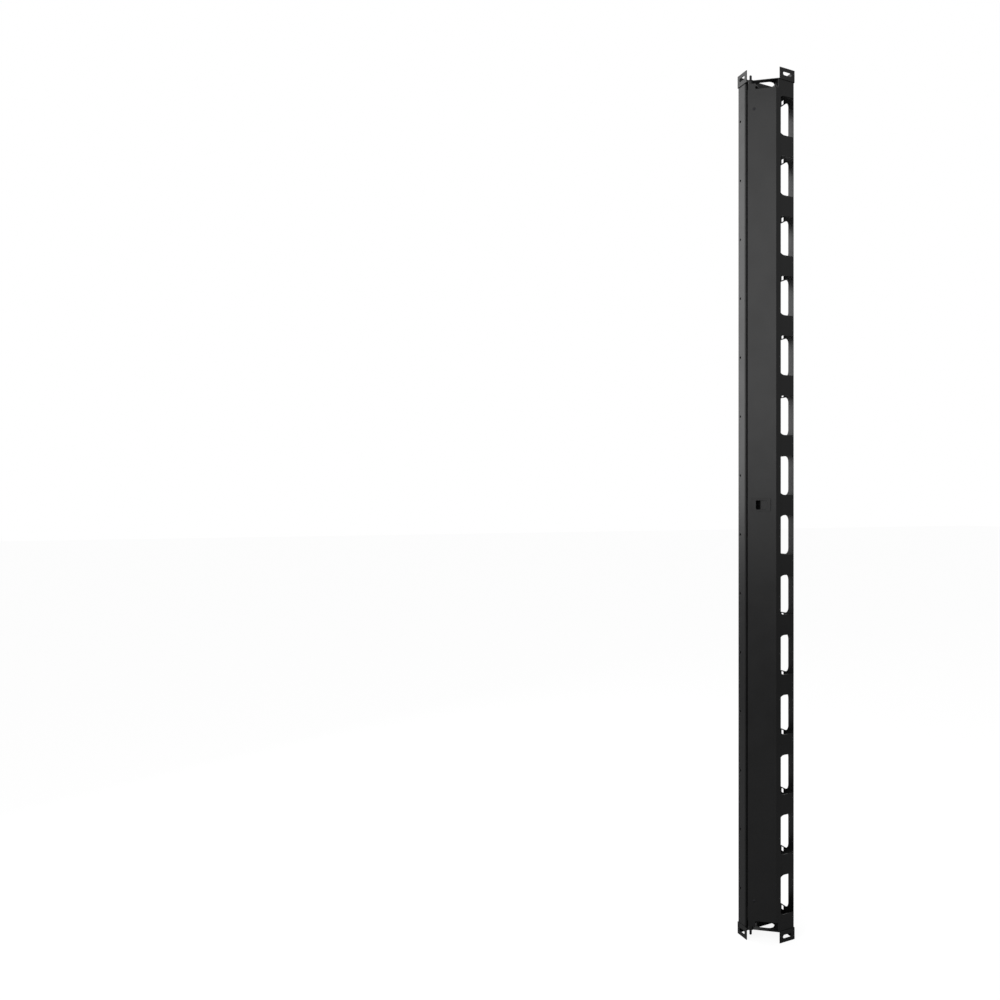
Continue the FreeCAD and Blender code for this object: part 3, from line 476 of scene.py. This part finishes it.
def makePin(look):
    radius, taper = look["radius"], look["taper"]
    bm = turnedPart([
        (0, look["foot"]), (radius - 0.5, look["foot"]), (radius, look["foot"] + 0.5),
        (radius, look["grooveFoot"]), (look["groove"], look["grooveFoot"]),
        (look["groove"], look["grooveTop"]), (radius, look["grooveTop"]),
        (radius, look["top"] - taper), (look["tip"] + 0.3, look["top"] - 0.2),
        (look["tip"] - 0.2, look["top"]), (0, look["top"]),
    ], 48)
    grip, length = look["handleRadius"], look["handleLength"]
    handle = turnedPart([
        (0, 0), (grip, 0), (grip, length - 1.2), (grip * 0.92, length - 0.6),
        (grip * 0.7, length - 0.15), (grip * 0.35, length), (0, length),
    ], 40)
    bmesh.ops.transform(
        handle, verts=handle.verts,
        matrix=Matrix.Translation((0, 0, look["handleHeight"]))
        @ Matrix.Rotation(-math.pi / 2, 4, "X"))
    return combine(bm, handle, "UNION")


def makeClip(look):
    bm = bmesh.new()
    corners = [
        (look["grip"], 0), (look["outer"], 0), (look["outer"], look["thick"]),
        (look["grip"], look["thick"]),
    ]
    section = bm.faces.new([bm.verts.new((x, 0, z + look["foot"])) for x, z in corners])
    # The gap faces +Y
    start, stop = 90 + look["open"] / 2, 450 - look["open"] / 2
    bmesh.ops.rotate(
        bm, verts=bm.verts, cent=(0, 0, 0), matrix=Matrix.Rotation(math.radians(start), 3, "Z"))
    bmesh.ops.spin(
        bm, geom=[section] + list(section.edges) + list(section.verts), cent=(0, 0, 0),
        axis=(0, 0, 1), angle=math.radians(stop - start), steps=look["steps"])
    bmesh.ops.remove_doubles(bm, verts=bm.verts, dist=mergeDistance)
    # The inside springs back from the groove between the three lugs
    lugs = [start + look["lug"] / 2, 270, stop - look["lug"] / 2]
    for vert in bm.verts:
        reach = math.hypot(vert.co.x, vert.co.y)
        turn = math.degrees(math.atan2(vert.co.y, vert.co.x)) % 360
        away = min(abs((turn - lug + 180) % 360 - 180) for lug in lugs)
        if reach < look["grip"] + 0.01 and away > look["lug"] / 2 + 1:
            vert.co.x *= look["inner"] / reach
            vert.co.y *= look["inner"] / reach
    return bm


pinAxis = Matrix.Translation((hingePin["x"], hingePin["y"], 0))
for end, flip in ends.items():
    place = inMetres @ doorTurn @ flip @ pinAxis
    addPiece(end + "SpringPin", makePin(hingePin), end + "_hinge_pin", place)
    addPiece(end + "EClip", makeClip(pinClip), end + "_pin_clip", place)
print("pins turned")

# Pan-head screws with a cross recess, driven from inside the door
caseScrew = {
    "x": -2.2, "seat": -30.4, "apart": 16.9, "head": 2.3, "rise": 1.2, "shank": 1.25,
    "length": 2.5, "slotLength": 2.6, "slotWidth": 0.62, "slotDepth": 0.75, "slotFoot": 0.35,
}


def makeScrew(look):
    head, rise = look["head"], look["rise"]
    bm = turnedPart([
        (0, rise), (head * 0.5, rise * 0.98), (head * 0.78, rise * 0.84),
        (head * 0.95, rise * 0.55), (head, rise * 0.2), (head, 0), (look["shank"], 0),
        (look["shank"], -look["length"] + 0.3), (look["shank"] - 0.3, -look["length"]),
        (0, -look["length"]),
    ], 40)
    for turn in (0, math.pi / 2):
        tool = bmesh.new()
        bmesh.ops.create_cube(tool, size=1)
        bmesh.ops.scale(tool, verts=tool.verts, vec=(
            look["slotLength"], look["slotWidth"], 2 * look["slotDepth"]))
        # The recess narrows towards its foot
        for vert in tool.verts:
            if vert.co.z < 0:
                vert.co.x *= look["slotFoot"]
        bmesh.ops.transform(
            tool, verts=tool.verts,
            matrix=Matrix.Translation((0, 0, rise)) @ Matrix.Rotation(turn, 4, "Z"))
        bm = combine(bm, tool, "DIFFERENCE")
    return bm


bm = bmesh.new()
for side in (-1, 1):
    join(bm, makeScrew(caseScrew), Matrix.Translation(
        (caseScrew["x"], caseScrew["seat"], 1000 * middle + side * caseScrew["apart"]))
        @ Matrix.Rotation(-math.pi / 2, 4, "X"))
addPiece("housingScrews", bm, "latch_case_screws", inMetres @ doorTurn)
print("screws driven, %d new pieces" % len(pieceList))

# Studio: a white floor and backdrop, and two soft boxes at the left, high up, so that the
# light falls off down the channel. What the black finish mirrors is dimmer in front than behind.
studio = {
    "floorSize": 60,
    "floorColour": "#d4d4d4",
    "shadowShare": 0.5,     # how much of the floor's own shading the camera sees
    "floorWhite": 1.8,
    "frontGlow": 0.46,
    "backGlow": 0.95,
    "glowFrom": -0.5,
    "glowTo": 0.6,
    "fill": 0.24,
}
lamps = {
    "frontBox": {
        "at": (-2.1, -1.35, 2.0), "aim": (0, 0, 1.9), "wide": 2.6, "high": 2.2, "power": 25,
    },
    "backBox": {
        "at": (-1.3, 2.1, 2.0), "aim": (0, 0, 1.9), "wide": 2.0, "high": 2.2, "power": 14.8,
    },
}


def layFloor(look):
    bm = bmesh.new()
    bmesh.ops.create_grid(bm, x_segments=1, y_segments=1, size=look["floorSize"] / 2)
    mesh = bpy.data.meshes.new("floor")
    bm.to_mesh(mesh)
    bm.free()
    floor = bpy.data.objects.new("floor", mesh)
    bpy.context.scene.collection.objects.link(floor)
    material, tree = newMaterial("studioFloor")
    rays = addNode(tree, "ShaderNodeLightPath")
    paper = addNode(
        tree, "ShaderNodeBsdfDiffuse", {"Color": linearColour(look["floorColour"])})
    white = addNode(tree, "ShaderNodeEmission", {
        "Color": (1, 1, 1, 1), "Strength": look["floorWhite"]})
    seen = addNode(tree, "ShaderNodeMixShader", {
        0: 1 - look["shadowShare"], 1: paper.outputs[0], 2: white.outputs[0]})
    mixed = addNode(tree, "ShaderNodeMixShader", {
        0: rays.outputs["Is Camera Ray"], 1: paper.outputs[0], 2: seen.outputs[0]})
    addNode(tree, "ShaderNodeOutputMaterial", {"Surface": mixed.outputs[0]})
    mesh.materials.append(material)


def lightRoom(look):
    world = bpy.data.worlds.new("studio")
    bpy.context.scene.world = world
    world.use_nodes = True
    tree = world.node_tree
    tree.nodes.clear()
    rays = addNode(tree, "ShaderNodeLightPath")
    # White to the camera, while the coat mirrors a room that gets dimmer towards its front
    way = addNode(tree, "ShaderNodeTexCoord").outputs["Generated"]
    depth = addNode(tree, "ShaderNodeSeparateXYZ", {"Vector": way}).outputs["Y"]
    glow = addNode(tree, "ShaderNodeMapRange", {
        "Value": depth, "From Min": look["glowFrom"], "From Max": look["glowTo"],
        "To Min": look["frontGlow"], "To Max": look["backGlow"]})
    mirrorOrGlass = addNode(tree, "ShaderNodeMath", {
        0: rays.outputs["Is Glossy Ray"], 1: rays.outputs["Is Transmission Ray"]},
        operation="MAXIMUM")
    dim = addNode(tree, "ShaderNodeMix", {
        "Factor": mirrorOrGlass.outputs[0], "A": look["fill"], "B": glow.outputs["Result"]})
    strength = addNode(tree, "ShaderNodeMix", {
        "Factor": rays.outputs["Is Camera Ray"], "A": dim.outputs["Result"], "B": 1.0})
    light = addNode(tree, "ShaderNodeBackground", {
        "Color": (1, 1, 1, 1), "Strength": strength.outputs["Result"]})
    addNode(tree, "ShaderNodeOutputWorld", {"Surface": light.outputs[0]})


def hangLamp(name, setup):
    data = bpy.data.lights.new(name, "AREA")
    data.shape = "RECTANGLE"
    data.size = setup["wide"]
    data.size_y = setup["high"]
    data.energy = setup["power"]
    lamp = bpy.data.objects.new(name, data)
    lamp.location = setup["at"]
    aim = Vector(setup["aim"]) - lamp.location
    lamp.rotation_euler = aim.to_track_quat("-Z", "Y").to_euler()
    bpy.context.scene.collection.objects.link(lamp)


layFloor(studio)
lightRoom(studio)
for name, setup in lamps.items():
    hangLamp(name, setup)
print("studio lit")

bpy.context.scene.view_settings.view_transform = "Standard"
